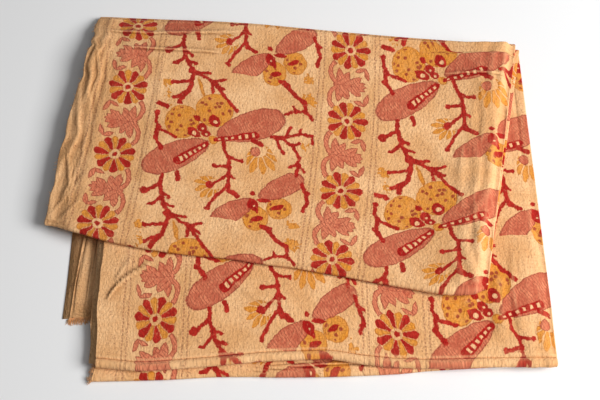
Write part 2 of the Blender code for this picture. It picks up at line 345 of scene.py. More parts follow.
def stretches(numbers):
    # Pairs of points that follow each other, from x, y, x, y and so on
    points = list(zip(numbers[::2], numbers[1::2]))
    return list(zip(points[:-1], points[1:]))


def creaseLift(creases, u, v):
    lift = np.zeros_like(u)
    for *numbers, height, halfWidth in creases:
        nearest = np.full_like(u, 1e9)
        where = np.zeros_like(u)
        ways = stretches(numbers)
        for i, (p, q) in enumerate(ways):
            dx, dy = q[0] - p[0], q[1] - p[1]
            along = np.clip(((u - p[0]) * dx + (v - p[1]) * dy) / (dx * dx + dy * dy), 0, 1)
            gap = np.hypot(u - p[0] - dx * along, v - p[1] - dy * along)
            steeper = dx * (v - p[1]) > dy * (u - p[0])
            gap = gap * np.where(steeper, *creaseSides)
            where = np.where(gap < nearest, (i + along) / len(ways), where)
            nearest = np.minimum(nearest, gap)
        fade = smooth(np.minimum(where, 1 - where) * 5)
        lift = np.maximum(lift, height * fade * np.exp(-np.abs(nearest / halfWidth) ** 1.2))
    return lift


def waves(way, length, wander, u, v, lengthU, lengthV, seed):
    uneven = wander * slowWander(u / lengthU, v / lengthV, seed)
    return 0.5 + 0.5 * np.sin(2 * math.pi * (way / length + uneven))


def handCreases(panel, u, v, distance, toFront):
    length, wander, uneven, height, reach, (lengthU, lengthV, seed) = smallWaves[panel]
    if panel == flapTop:
        lift, shown = creaseLift(creasesOnFlap, u, v), 1.0
        margin = smooth((ripples["from"] - u) / ripples["reach"])
        ripple = waves(u, ripples["length"], ripples["wander"], u, v, 40, 30, 2.0)
        lift = lift + ripples["height"] * margin * ripple ** ripples["power"]
    else:
        shown = smooth((v - 800) / 14)
        lift = creaseLift(creasesOnFront, u, v) * shown
    right = smooth((reach - distance) / 30) * smooth(distance / 6)
    folds = waves(distance, length, wander, u, v, *uneven)
    lift = lift + height * right * folds * shown
    swell = unevenLift * (1 + slowWander(u / lengthU, v / lengthV, seed))
    lift = lift + swell * smooth(distance / 12) * shown
    return lift * smooth(toFront / 5) if panel == flapTop else lift


def printLength(share, a):
    # v on the flap's upper panel, from its back at share 0 to its front at 1
    start, slope = printPlace["flapStart"]
    bend, leftFrom, leftBend, leftSlope = printPlace["flapBend"]
    length = np.interp(a, *printPlace["flapLength"])
    bend = np.where(a > leftFrom, leftBend + leftSlope * a, bend)
    # a strip of the print lies hidden in the crease at the back right
    most, edge, soft, reach, fade = printPlace["hidden"]
    hidden = most * smooth((edge - share) / soft) * smooth((reach - a) / fade)
    return start + slope * a + length * share + bend * share * share - hidden


def printAtLip(a):
    # v along the front panel's front fold
    start, slope, rise, reach = printPlace["lip"]
    return start + slope * a + rise * smooth(1 - a / reach)


def hangingRows(place, distance):
    out = lineWays(foldLines[0])[1]
    share = np.maximum(0.0, distance / cloth["halfWidth"])
    right, left = hang["run"]
    run = right + (left - right) * share
    height = cloth["levels"][0] - sinkAt(flapTop, place) - hang["radius"]
    centre = np.column_stack([place, height])
    rows, faces, lengths = [], [], []
    for degrees in np.arange(hang["angle"], 0.0, -hang["step"]):
        a = math.radians(degrees)
        way = np.array([*out * math.sin(a), math.cos(a)])
        rows.append(centre + way * hang["radius"])
        faces.append(way)
        lengths.append(np.full_like(distance, -hang["radius"] * a))
    a = math.radians(hang["angle"])
    down = np.array([*out * math.cos(a), -math.sin(a)])
    for part in (0.5, 1.0):
        rows.insert(0, rows[0] + down * run[:, None] * part)
        faces.insert(0, faces[0])
        lengths.insert(0, lengths[0] - run * part)
    return rows, faces, lengths


def foldRows(panel, place, swell, steps):
    line = foldLines[panel + 1]
    out = lineWays(line)[1]
    top = cloth["levels"][panel] - sinkAt(panel, place)
    bottom = cloth["levels"][panel + 1] - sinkAt(panel + 1, place)
    radius = (top - bottom) / 2
    centre = np.column_stack([place, (top + bottom) / 2])
    outside = 1.0 if line["side"] < 0 else -1.0
    rows = []
    for i in range(1, steps):
        a = math.pi * i / steps
        way = np.array([*out * math.sin(a), math.cos(a)])
        lift = swell * (1 + math.cos(a)) / 2
        rows.append((centre + way * radius[:, None], way * outside, lift, radius * a))
    return rows


def edgeShift(panel, place, share, toFront, v):
    # How far the sheet's left edges waver, and how far they are drawn in
    y = place[:, 1]
    shift = edges["wave"] * np.sin(2 * math.pi * y / edges["waveLength"])
    shift = shift + edges["wander"] * slowWander(y / 11.0, y / 23.0, 3.0 + panel)
    shift = shift * np.where(onFirst, 1, -1) * atEdge
    if panel == flapTop:
        for notch, reach, deep in edges["notches"]:
            shift = shift - deep * onFirst * atEdge * np.exp(-(((v - notch) / reach) ** 2))
    elif panel == frontTop:
        tuck = np.where(onFirst, edges["tuck"], edges["tuckUnder"])
        shift = shift - tuck * atEdge * smooth(share * edges["tuckReach"])
    elif panel == frontUnder:
        shift = shift - edges["tuckUnder"] * atEdge * smooth((1 - share) * edges["tuckReach"])
    elif panel in (innerTop, innerUnder):
        shift = shift - edges["tuckLow"] * ~onFirst * atEdge
        if panel == innerTop:
            near = np.clip(1 - toFront / edges["cornerReach"], 0, 1)
            shift = shift + edges["corner"] * onFirst * atEdge * near
    return shift


def buildCloth():
    points, prints, lifts, lastRows = [], [], [], []
    around = cloth["bend"] * (math.pi / 2 - turn)
    ends = [linePoint(line, distanceOn(line)[0]) for line in foldLines]
    shrink = printPlace["shrink"]

    def put(middle, face, swell, u, v):
        lift = swell * np.maximum(0.0, above)
        points.append(middle + np.asarray(face) * (cloth["bend"] * above + lift)[:, None])
        prints.append(np.stack([u, v], axis=1))
        lifts.append(lift)

    def across(foldU, distance, stretch=0.0):
        printed = distance * (1 + stretch)
        second = foldU + around + np.maximum(printed, 0.0) * (above < -0.999)
        return np.where(above > 0.999, foldU - printed, second)

    distance0 = distanceOn(foldLines[0])[0]
    foldU = printPlace["foldOnFlap"][0]
    rows, faces, lengths = hangingRows(ends[0], distance0)
    firstV = printLength(0.0, np.maximum(distance0, 0.0))
    for row, face, length in zip(rows, faces, lengths):
        put(row, face, np.zeros_like(distance0), across(foldU, distance0), firstV + length)

    nextV = None
    for panel in range(7):
        start, stop = ends[panel], ends[panel + 1]
        line, lineOn = foldLines[panel], foldLines[panel + 1]
        face = 1.0 if line["side"] > 0 else -1.0
        back, front = (start, stop) if face > 0 else (stop, start)
        shares = rowShares(panel, back, front)
        if face < 0:
            shares = shares[::-1]
        d0, width = distanceOn(line)
        d1, _ = distanceOn(lineOn)
        length = norm(front - back, axis=1)
        a = np.where(onFirst, np.maximum(d0, 0.0), 0.0)
        if panel == frontTop:
            moved = norm(linePoint(frontPrintLine, d1) - front, axis=1)
            endV = printAtLip(a) - shrink * moved
            startV = endV - shrink * length
        elif panel == flapTop:
            printReach = length / norm(linePoint(flapPrintLine, d1) - back, axis=1)
        elif panel == flapUnder:
            frontLength = norm(ends[3] - ends[2], axis=1)
            lipPlace = linePoint(frontPrintLine, distanceOn(foldLines[3])[0])
            moved = norm(lipPlace - ends[3], axis=1)
            startV, endV = nextV, printAtLip(a) - shrink * (frontLength + moved)
        else:
            startV, endV = nextV, nextV + shrink * length
        for share in shares:
            place = back + (front - back) * share[:, None]
            # d0 belongs to the panel's first line on the way along the cloth
            distance = d0 * (1 - share) + d1 * share
            toFront = norm(front - place, axis=1)
            way = share if face > 0 else 1 - share
            if panel == flapTop:
                f0, f1, f2 = printPlace["foldOnFlap"]
                printed = share * printReach
                foldU = f0 + f1 * printed + f2 * printed * printed
                v = printLength(printed, a)
                u = across(foldU, distance)
            else:
                onto = way if panel == flapUnder else 1.0
                under = printPlace["foldUnder"]
                foldU = under + (printPlace["foldOnFront"] - under) * onto
                v = startV + (endV - startV) * way
                u = across(foldU, distance, printPlace["stretch"] * onto)
            swell = softSwelling(panel, place, distance, width, toFront)
            if panel in (flapTop, frontTop):
                swell = swell + handCreases(panel, u, v, distance, toFront)
            shift = edgeShift(panel, place, share, toFront, v)
            place = place + lineWays(line)[0] * shift[:, None]
            height = cloth["levels"][panel] - sinkAt(panel, place)
            put(np.column_stack([place, height]), (0.0, 0.0, face), swell, u, v)
        lastRows.append(len(points) - 1)
        if panel < base:
            steps = grid["outerFold"] if lineOn["side"] < 0 else grid["innerFold"]
            for middle, way, lift, arc in foldRows(panel, place, swell, steps):
                put(middle, way, lift, u, v + arc)
            nextV = v + (arc if panel != flapUnder else 0.0)
    return *(np.stack(part, axis=1) for part in (points, prints, lifts)), lastRows


def bendOf(lifts, gaps):
    # How sharply a line of the sheet bends upwards at each point, for each millimetre
    least = grid["leastGap"]
    slopes = np.diff(lifts, axis=1) / np.maximum(gaps, least)
    bend = np.zeros_like(lifts)
    bend[:, 1:-1] = np.diff(slopes, axis=1) * 2 / np.maximum(gaps[:, 1:] + gaps[:, :-1], 2 * least)
    return bend


def newPiece(name, points, faces, prints, folds):
    # A piece from points and places in the print, in millimetres, and the painted shading at each
    # point
    mesh = bpy.data.meshes.new(name)
    mesh.from_pydata((points * mm).tolist(), [], faces)
    uv = mesh.uv_layers.new(name="print")
    loops = np.empty(len(mesh.loops), dtype=np.int32)
    mesh.loops.foreach_get("vertex_index", loops)
    uv.data.foreach_set("uv", (prints[loops] * mm).astype(np.float32).ravel())
    attribute = mesh.attributes.new("folds", "FLOAT", "POINT")
    attribute.data.foreach_set("value", folds.astype(np.float32).ravel())
    piece = bpy.data.objects.new(name, mesh)
    scene.collection.objects.link(piece)
    return piece


def makeCloth():
    points, prints, lifts, lastRows = buildCloth()
    alongGaps = norm(np.diff(points, axis=1), axis=2)
    acrossGaps = norm(np.diff(points, axis=0), axis=2)
    bend = bendOf(lifts, alongGaps) + bendOf(lifts.T, acrossGaps.T).T
    # painted shading from the bend: above a half it paints shade into grooves, below a half it
    # paints highlight onto ridges
    paintedShading = 0.5 + 0.5 * np.tanh(bend * paintedShadingGain)
    columns, rows = points.shape[:2]
    index = np.arange(columns * rows).reshape(columns, rows)
    quads = np.stack([index[:-1, :-1], index[:-1, 1:], index[1:, 1:], index[1:, :-1]], axis=-1)
    quads = quads.reshape(-1, 4).tolist()
    piece = newPiece("folded_cloth", points.reshape(-1, 3), quads, prints.reshape(-1, 2), paintedShading)
    bpy.ops.object.select_all(action="DESELECT")
    piece.select_set(True)
    bpy.context.view_layer.objects.active = piece
    solid = piece.modifiers.new("thickness", "SOLIDIFY")
    solid.thickness = cloth["thickness"] * mm
    solid.offset = 0.0
    bpy.ops.object.modifier_apply(modifier=solid.name)
    bpy.ops.object.shade_smooth()
    return piece, points, lastRows


clothPiece, clothPoints, lastRows = makeCloth()
print("cloth shaped:", len(clothPiece.data.polygons), "faces")

# Loose threads at the base's cut end, at the lower fold's corner and along the flap's selvedge.
# For each place: how many threads, their heading and its spread in degrees, and their lengths
fray = {
    "seed": 7, "radius": 0.24, "steps": 4, "floor": 0.35, "folds": 0.28,
    "uv": (4, 60), "uvStep": (1.2, 3.7), "uvColumns": 7,
    "end": (340, (-95, 24), (2.5, 8)), "endColumns": 30, "endBunch": 1.2, "under": (-2, 2.6),
    "corner": (130, (190, 26), (2, 6)), "cornerRows": (14, 5),
    "selvedge": (34, (180, 40), (1.5, 4.5)), "selvedgeRow": 12,
}


def threadPath(start, heading, length, draw):
    # A short curved way that sinks towards the floor
    way = math.radians(heading)
    bend = math.radians(draw.uniform(-60, 60))
    spot = np.array(start, dtype=float)
    path = [spot]
    sink, steps = draw.uniform(0.1, 0.6), fray["steps"]
    for i in range(steps):
        way += bend / steps
        step = np.array([math.cos(way), math.sin(way), -sink * (0.4 + i / 2)])
        spot = spot + step * length / steps
        spot[2] = max(spot[2], fray["floor"])
        path.append(spot)
    return path


def makeThreads():
    draw = random.Random(fray["seed"])
    paths = []

    def addThread(start, kind):
        _, (heading, spread), lengths = fray[kind]
        heading = heading + draw.gauss(0, spread)
        paths.append(threadPath(start, heading, draw.uniform(*lengths), draw))

    for i in range(fray["end"][0]):
        # every third one is on the lower sheet's end
        bunched = draw.random() ** fray["endBunch"]
        spot = fray["endColumns"] * bunched
        if i % 3 == 0:
            spot = fray["under"][0] - fray["under"][1] * bunched
        column, part = math.floor(spot), spot % 1.0
        start = clothPoints[column, -1] * (1 - part) + clothPoints[column + 1, -1] * part
        addThread(start, "end")
    before, after = fray["cornerRows"]
    for _ in range(fray["corner"][0]):
        row = lastRows[innerTop] + draw.randrange(-before, after)
        addThread(clothPoints[0, row], "corner")
    for _ in range(fray["selvedge"][0]):
        row = draw.randrange(fray["selvedgeRow"], lastRows[flapTop])
        addThread(clothPoints[0, row], "selvedge")
    points, faces = [], []
    for path in paths:
        first = len(points)
        for i, spot in enumerate(path):
            before, after = path[max(i - 1, 0)], path[min(i + 1, len(path) - 1)]
            way = (after - before) / max(norm(after - before), 1e-6)
            side = np.cross(way, (0.0, 0.0, 1.0))
            side = side / max(norm(side), 1e-6)
            up = np.cross(side, way)
            thick = fray["radius"] * (1.0 - 0.5 * i / len(path))
            for k in range(3):
                a = 2 * math.pi * k / 3
                points.append(spot + (side * math.cos(a) + up * math.sin(a)) * thick)
        top = len(points) - 3
        for low in range(first, top, 3):
            for k, beside in ((0, 1), (1, 2), (2, 0)):
                faces.append((low + k, low + 3 + k, low + 3 + beside, low + beside))
        faces += [(first, first + 1, first + 2), (top + 2, top + 1, top)]
    # each thread takes its colour from one spot of the bare margin
    thread = np.arange(len(points)) // (3 * (fray["steps"] + 1))
    (startU, startV), (stepU, stepV) = fray["uv"], fray["uvStep"]
    prints = [startU + (thread % fray["uvColumns"]) * stepU, startV + thread * stepV]
    # each thread gets one fixed value of the painted shading, which makes it a little paler all
    # over
    folds = np.full(len(points), fray["folds"])
    return newPiece("loose_threads", np.array(points), faces, np.stack(prints, axis=1), folds)


threads = makeThreads()
print("threads made:", len(threads.data.polygons), "faces")


class Wire:
    # One output in a node tree: sums and products of wires and numbers add Math nodes
    def __init__(self, tree, socket):
        self.tree, self.socket = tree, socket

    def math(self, operation, *others, clamp=False):
        settings = {"operation": operation, "use_clamp": clamp}
        return self.tree.add("Math", settings, (self, *others))[0]

    def vector(self, operation, *others, scale=None):
        inputs = dict(enumerate((self, *others)))
        if scale is not None:
            inputs["Scale"] = scale
        made = self.tree.add("VectorMath", {"operation": operation}, inputs)
        return made[1] if operation in ("LENGTH", "DISTANCE", "DOT_PRODUCT") else made[0]

    def __add__(self, other):
        return self.math("ADD", other)

    def __sub__(self, other):
        return self.math("SUBTRACT", other)

    def __rsub__(self, other):
        return self.math("MULTIPLY_ADD", -1.0, other)

    def __mul__(self, other):
        return self.math("MULTIPLY", other)

    def __truediv__(self, other):
        if isinstance(other, Wire):
            return self.math("DIVIDE", other)
        return self.math("MULTIPLY", 1.0 / other)

    __radd__, __rmul__ = __add__, __mul__

    def less(self, x, y):
        return self.vector("SUBTRACT", (x, y, 0))

    def far(self, x, y):
        return self.vector("DISTANCE", (x, y, 0))

    def dot(self, x, y):
        return self.vector("DOT_PRODUCT", (x, y, 0))

    def __mod__(self, other):
        return self.math("FLOORED_MODULO", other)

    def least(self, other):
        return self.math("MINIMUM", other)

    def most(self, other):
        return self.math("MAXIMUM", other)

    def size(self):
        return self.math("ABSOLUTE")

    def inside(self, soft=0.8):
        # 1 inside a shape, 0 outside, from a distance in millimetres that is negative inside
        return self.math("MULTIPLY_ADD", -1.0 / soft, 0.5, clamp=True)

    def ramp(self, low, high):
        return self.math("MULTIPLY_ADD", 1.0 / (high - low), -low / (high - low), clamp=True)


class Tree:
    def __init__(self, name):
        self.material = bpy.data.materials.new(name)
        self.material.use_nodes = True
        self.nodes = self.material.node_tree.nodes
        self.links = self.material.node_tree.links
        self.shader = self.nodes["Principled BSDF"]

    def add(self, kind, settings, inputs):
        node = self.nodes.new("ShaderNode" + kind)
        for name, value in settings.items():
            setattr(node, name, value)
        if not isinstance(inputs, dict):
            inputs = dict(enumerate(inputs))
        for key, value in inputs.items():
            self.set(node.inputs[key], value)
        return [Wire(self, socket) for socket in node.outputs]

    def set(self, socket, value):
        if isinstance(value, Wire):
            self.links.new(value.socket, socket)
        else:
            socket.default_value = value

    def dress(self, looks):
        for name, value in looks.items():
            self.set(self.shader.inputs[name], value)

    def mix(self, share, under, over):
        return self.add("Mix", {"data_type": "RGBA"}, {"Factor": share, "A": under, "B": over})[2]

    def noise(self, vector, scale, detail):
        inputs = {"Vector": vector, "Scale": scale, "Detail": detail}
        return self.add("TexNoise", {"noise_dimensions": "2D"}, inputs)


# The print's sizes are in millimetres on the cloth. Across it the pattern repeats with each border.
# Along it the borders and the flowering branches between them each have their own repeat.
repeat = {
    "firstBorder": 50, "across": 237, "rosettes": 81, "field": 169,
    "fieldStart": 126, "fieldStep": -102.3,
    "frontShift": 31.1, "frontStep": -23.2, "frontFrom": 500,
    "cut": 82, "wander": 1.5, "wanderLength": 9, "margin": 26.5,
}

dyes = {
    "ground": (0.735, 0.385, 0.160, 1), "groundPale": (0.87, 0.515, 0.255, 1),
    "groundDeep": (0.56, 0.245, 0.085, 1), "line": (0.26, 0.075, 0.040, 1),
    "crimson": (0.36, 0.006, 0.004, 1), "crimsonPale": (0.50, 0.022, 0.014, 1),
    "brick": (0.48, 0.088, 0.046, 1), "brickDeep": (0.235, 0.022, 0.014, 1),
    "brickPale": (0.71, 0.205, 0.105, 1), "spot": (0.30, 0.030, 0.018, 1),
    "ochre": (0.72, 0.265, 0.026, 1), "ochreDeep": (0.40, 0.105, 0.012, 1),
    # the next colour is painted shade, multiplied into the sheet's grooves
    "paintedShading": (0.30, 0.20, 0.13, 1),
}

border = {
    "petals": 7, "petalStart": -95, "petalFrom": 5.8, "eye": 2.9,
    # a petal's half width at its start, how it widens, and how far from the middle it ends
    "crimsonPetal": (1.2, 0.235, 22), "ochrePetal": (0.9, 0.205, 21.2),
    "stem": 15.5, "vineAt": (5, 15), "vineRadius": 15.3, "vineHalf": 2.5,
    "lines": (27.5, 32.5), "lineHalf": 0.75, "dots": 3.3, "margin": (-34, -28.5),
}
# The leaf's lobes on one side of its midrib, and the two arms of the curl beside it, each pointed
# at both ends: its middle, from the leaf's stem and from the midrib, half length, half width, turn
leafLobes = (
    ((16.5, 0), 18.5, 7, 0), ((5.5, 8.5), 11.5, 4.4, 97), ((11, 7), 9.5, 4.6, 62),
    ((21.5, 5), 9.5, 4.4, 36), ((28, 2.6), 5.5, 2.4, 22),
)
curlArms = (
    ((34.2, 15.2), 7.2, 2.7, 108), ((27, 18.6), 6.6, 2.4, 22),
)

# The field's motif. Places are from the first border's middle across, and from the middle of the
# big flower along. Each twig: its points, x and y in turn, and its half width.
twigs = (
    (111, 0, 113, 9, 119, 18, 121, 34, 122, 47, 125, 55, 1.7), (118, 16, 131, 18, 1.4),
    (121, 27, 106, 29, 1.4), (121, 36, 113, 44, 106, 51, 1.4), (121, 35, 127, 39, 1.2),
    (121, 50, 113, 61, 105, 77, 1.6), (124, 54, 134, 59, 2.4),
    (53, 50, 53, 61, 57, 72, 60, 81, 66, 90, 1.9), (52, 61, 40, 71, 1.7), (56, 70, 65, 73, 1.3),
    (57, 76, 48, 86, 1.7), (60, 81, 71, 83, 1.4),
    (64, -84, 69, -76, 68, -64, 66, -53, 58, -40, 2.2), (68, -65, 57, -62, 48, -60, 1.6),
    (66, -52, 51, -42, 1.7), (71, -76, 86, -77, 1.4), (71, -75, 83, -71, 91, -67, 103, -72, 1.6),
    (91, -67, 103, -61, 1.3), (90, -68, 92, -56, 1.5), (93, -65, 108, -49, 120, -38, 1.7),
    (36, -21, 36, -10, 42, -2, 60, 4, 1.6), (39, -4, 39, 9, 47, 20, 2.1), (36, -32, 46, -30, 2.4),
    (68, 44, 70, 52, 2.2), (160, -15, 173, -16, 188, -23, 202, -22, 203, -14, 1.4),
    (174, -17, 179, -29, 1.3), (187, -22, 190, -28, 1.2), (164, -14, 174, 2, 1.5),
    (169, -15, 184, -7, 191, 5, 190, 25, 1.6), (181, -9, 190, -12, 1.2), (191, 12, 182, 17, 1.4),
    (191, 12, 198, 20, 1.4), (163, -80, 172, -77, 2.2), (167, -79, 178, -68, 191, -59, 2.1),
    (191, -60, 193, -50, 201, -41, 1.6), (193, -49, 180, -48, 172, -43, 1.3),
    (182, -47, 179, -53, 1), (197, 34, 202, 46, 205, 55, 201, 65, 1.8), (200, 42, 206, 44, 1.2),
    (141, -8, 150, -4, 2.4),
)
# Knobs at the ends of twigs
knobs = (
    (132, 18, 2.4), (105, 29, 3), (104, 51, 4.2), (105, 78, 3), (134, 59, 2.6), (38, 71, 4.4),
    (47, 87, 3.6), (47, -60, 2.8), (51, -42, 2.6), (58, -38, 2.8), (36, -21, 3), (120, -38, 2.8),
    (203, -14, 2.2), (201, 65, 2.6), (65, 74, 2.2), (38, 8, 3.4), (66, -77, 4),
)

# Each wing: its middle, half length and half width, and its turn in degrees
wings = (
    ((63, 25), 38.5, 15.6, 146), ((137, -23), 38.5, 16.6, -27), ((131.5, 77), 26, 11.2, 140),
    ((177, 41), 26, 11.6, -35), ((145, 5), 5.4, 5, 0),
)
lobes = (
    ((63.5, -15), 18, 20, 10), ((96, -34.5), 20.5, 19.5, -25), ((177.7, 66), 13, 12.5, 0),
    ((156, 80), 13, 13, 0), ((156, -87), 13, 13, 0), ((99.5, 0), 5.5, 4.5, 30),
    ((79, -59), 2.2, 12, -22),
)
# Small ochre buds with ragged ends: middle, half length, half width, turn
buds = (
    ((196, -63), 8, 6, 30), ((194, -9), 4.2, 3.2, 0), ((194, 84), 6.4, 5.4, 60),
    ((41, -59), 5.6, 5, 20), ((46, -42), 3, 6, -20),
)
fans = (
    ((149, 3), 30, 74), ((108, 50), 23, 152),
)
# Each pod: its two ends, its half width, and how far apart its pale squares are
pods = (
    ((93, 6), (67, 30), 4.6, 5.8), ((102, -1), (143, -14), 3.6, 7.4),
)
# Small crimson petals with a pale eye: middle, half length, half width, turn, and the eye's radius
petals = (
    ((98, -22), 8, 6, 60, 2.4), ((86, -12), 6, 5, 40, 1.3), ((78, -5), 9, 5, 25, 2.3),
    ((91, -6), 5.5, 4, 0, 1.3), ((79, -22), 4.5, 3, 40, 0), ((176, 65), 6.6, 3.2, -30, 0),
    ((157, 81), 7, 3.4, -20, 0), ((151, 66), 8, 5.6, 60, 1), ((161, 59), 8, 2.8, 0, 0),
    ((149, 53), 3, 2.6, 0, 0), ((155, 71), 5, 2.2, 70, 0),
)


def printedCotton():
    tree = Tree("printed_cotton_look")
    uv = tree.add("UVMap", {"uv_map": "print"}, {})[0]
    place = uv.vector("SCALE", scale=1000.0)
    wobble = tree.noise(place, 1 / repeat["wanderLength"], 2.0)[1]
    wobble = wobble.vector("SUBTRACT", (0.5, 0.5, 0.5))
    spot = place.vector("ADD", wobble.vector("SCALE", scale=2 * repeat["wander"]))
    u, v, _ = tree.add("SeparateXYZ", {}, (spot,))

    across = repeat["across"]
    fromBorder = u - repeat["firstBorder"]
    column = (fromBorder / across).math("FLOOR")
    fieldX = fromBorder - column * across
    onFront = v.math("GREATER_THAN", repeat["frontFrom"])
    shift = column * repeat["fieldStep"] + repeat["fieldStart"]
    shift = shift + onFront * (column * repeat["frontStep"] + repeat["frontShift"])
    cut = repeat["cut"]
    fieldY = (v - shift + cut) % repeat["field"] - cut
    spotInField = tree.add("CombineXYZ", {}, (fieldX, fieldY))[0]

    def uneven(length, detail):
        return tree.noise(place, 1 / length, detail)[0]

    def streaks(spot, lengthU, lengthV, detail):
        return tree.noise(spot.vector("MULTIPLY", (1 / lengthU, 1 / lengthV, 0)), 1.0, detail)[0]

    def nearest(distances, found=None):
        for distance in distances:
            found = distance if found is None else found.least(distance)
        return found

    def lengthOf(x, y):
        return (x * x + y * y).math("SQRT")

    def strip(p, q):
        # The distance from the stretch between two points, and how far along it, from 0 to 1
        way = np.array(q, dtype=float) - np.array(p, dtype=float)
        away = spotInField.less(*p)
        along = away.dot(*(way / way.dot(way))).least(1.0).most(0.0)
        inputs = {0: (*way, 0), "Scale": along}
        step = tree.add("VectorMath", {"operation": "SCALE"}, inputs)[0]
        return away.vector("DISTANCE", step), along

    def ownAxes(spot, middle, degrees, unitX=1.0, unitY=1.0):
        away, turned = spot.less(*middle), math.radians(degrees)
        c, s = math.cos(turned), math.sin(turned)
        return away.dot(c / unitX, s / unitX), away.dot(-s / unitY, c / unitY)

    def oval(middle, halfLength, halfWidth, degrees, egg=0.0):
        # The distance from an oval, roughly, and the place in it, from -1 to 1 each way
        x, y = ownAxes(spotInField, middle, degrees, halfLength, halfWidth)
        if egg:
            y = y / (x * egg + 1.0)
        far = lengthOf(x, y)
        small = min(halfLength, halfWidth)
        return far.math("MULTIPLY_ADD", small, -small), x, y, far

    def pointed(spot, middle, halfLength, halfWidth, degrees):
        # The distance from a shape that is pointed at both ends, such as two rounds share
        radius = (halfLength * halfLength + halfWidth * halfWidth) / (2 * halfWidth)
        x, y = ownAxes(spot, middle, degrees)
        return lengthOf(x, y.size() + (radius - halfWidth)) - radius

    # crimson twigs
    crimson = None
    for *numbers, half in twigs:
        run = nearest(strip(p, q)[0] for p, q in stretches(numbers))
        run = run - half * 0.95 - 0.45
        crimson = run if crimson is None else crimson.math("SMOOTH_MIN", run, 3.2)
    crimson = nearest((spotInField.far(*middle) - radius for *middle, radius in knobs), crimson)
    lumps = uneven(4.0, 1.0)
    crimson = crimson - (lumps - 0.5) * 2.2

    # wings, spotted ochre lobes, buds and fans
    brick = nearest(oval(*wing, egg=0.17)[0] for wing in wings)
    ochre = nearest(oval(*lobe)[0] for lobe in lobes)
    spotStep = 8.4
    inputs = {"Vector": spotInField, "Scale": 1 / spotStep, "Randomness": 0.85}
    spots = tree.add("TexVoronoi", {"voronoi_dimensions": "2D", "feature": "F1"}, inputs)[0]
    spotted = (spots * spotStep - 1.9).most(ochre + 1.8)
    ochre = nearest((oval(*bud)[0] + (lumps - 0.46) * 12.0 for bud in buds), ochre)
    for tip, reach, degrees in fans:
        _, x, y, far = oval(tip, reach, reach, degrees)
        bearing = y.math("ARCTAN2", x)
        finger = (bearing * 13.0).math("COSINE")
        fan = (far - 0.78 - finger * 0.13) * reach
        fan = fan.most(bearing.size() * far * reach - 0.62 * reach)
        fan = fan.most((0.27 - far) * reach).most(0.5 - (finger + 1.0) * far * 4.0)
        ochre = ochre.least(fan)

    # pods and small petals at the flowers' hearts
    pale = None
    for p, q, half, spacing in pods:
        distance, along = strip(p, q)
        distance = distance - along * half * 0.45
        crimson = crimson.least(distance - half * 0.72)
        beat = (along * (math.dist(p, q) / spacing)).math("FRACT") - 0.5
        squares = (beat.size() * spacing - 1.4).most(distance - half * 0.20)
        pale = nearest([squares], pale)
    for *petal, eye in petals:
        crimson = crimson.least(pointed(spotInField, *petal))
        if eye:
            x, y = petal[0]
            pale = pale.least(spotInField.far(x + 0.8, y + 0.8) - eye)

    # the borders
    half = across / 2
    bandIndex = ((fromBorder + half) / across).math("FLOOR")
    bandX = fromBorder - bandIndex * across
    mirrored = 1 - 2 * (bandIndex % 2.0)
    bandX = bandX * mirrored
    pitch = repeat["rosettes"]
    rosetteY = (v + pitch / 2) % pitch - pitch / 2
    leafY = rosetteY.size() * -1 + pitch / 2
    far = lengthOf(bandX, rosetteY)
    bearing = bandX.math("ARCTAN2", rosetteY)
    petalTurn = 2 * math.pi / border["petals"]
    turned = -math.radians(border["petalStart"])

    def petalRing(start, halfAt, spread, reach):
        offset = (bearing + turned + start) % petalTurn
        offset = (offset - petalTurn / 2).size()
        side = far * offset.math("SINE")
        width = side - (far - border["petalFrom"]) * spread - halfAt
        return width.most(far - reach + side * side * 0.16).most(border["petalFrom"] - far)

    rosette = petalRing(petalTurn / 2, *border["crimsonPetal"]).least(far - border["eye"])
    crimson = crimson.least(rosette)
    ochre = ochre.least(petalRing(0.0, *border["ochrePetal"]))

    fromStem = border["stem"] - bandX
    leafSpot = tree.add("CombineXYZ", {}, (fromStem, leafY))[0]
    brickBand = nearest(pointed(leafSpot, *shape) for shape in leafLobes + curlArms)
    vineX, vineY = border["vineAt"]
    vineDx = bandX - vineX
    vine = (lengthOf(vineDx, leafY - vineY) - border["vineRadius"]).size() - border["vineHalf"]
    vine = vine.most(5.5 - vineDx).most(21.4 - far)
    brickBand = brickBand.least(vine)
    brick = brick.least(brickBand)
    outline = (brick + 0.3).size() - 0.45
    ribs = ((leafY * 0.9 - fromStem * 0.75) / 6.0).math("PINGPONG", 0.5) * 6.0
    vein = (leafY - 0.3).least(ribs - 0.35).most(brickBand + 1.3)
    vein = vein.most(2.0 - fromStem).most(fromStem - 27.0)
    outline = outline.least(vein)

    # dotted lines beside the borders
    def twoLines(way, places):
        return nearest((way - line).size() for line in places) - border["lineHalf"]

    lines = twoLines(bandX.size(), border["lines"])
    marginLines = twoLines(fromBorder, border["margin"])
    lines = lines.most(26.0 - (u - 2.0)).least(marginLines)
    dots = border["dots"]
    dotted = lines.most(((v / dots).math("FRACT") - 0.5).size() * dots - 1.15)

    # the selvedge's margin stays bare, but for the threads that run along it
    margin = repeat["margin"]
    bare = (margin - u).most(u - (2 * cloth["halfWidth"] - margin - 10))
    shapes = (crimson, brick, ochre, pale, spotted, outline)
    crimson, brick, ochre, pale, spotted, outline = (shape.most(bare) for shape in shapes)

    # the dyes, uneven where the block took up less
    speck, cloudy, patchy = uneven(1.7, 2.0), uneven(46.0, 3.0), uneven(11.0, 3.0)
    grain = uneven(2.8, 3.0)
    worn = (speck - 0.5) * 1.6
    slubU, slubV = streaks(place, 26.0, 1.3, 2.0), streaks(place, 1.3, 30.0, 2.0)
    hairs = streaks(spot, 5.5, 0.9, 1.0).most(streaks(spot, 1.0, 4.6, 1.0))

    colour = dyes["ground"]

    def paint(share, dye):
        nonlocal colour
        colour = tree.mix(share, colour, dye)

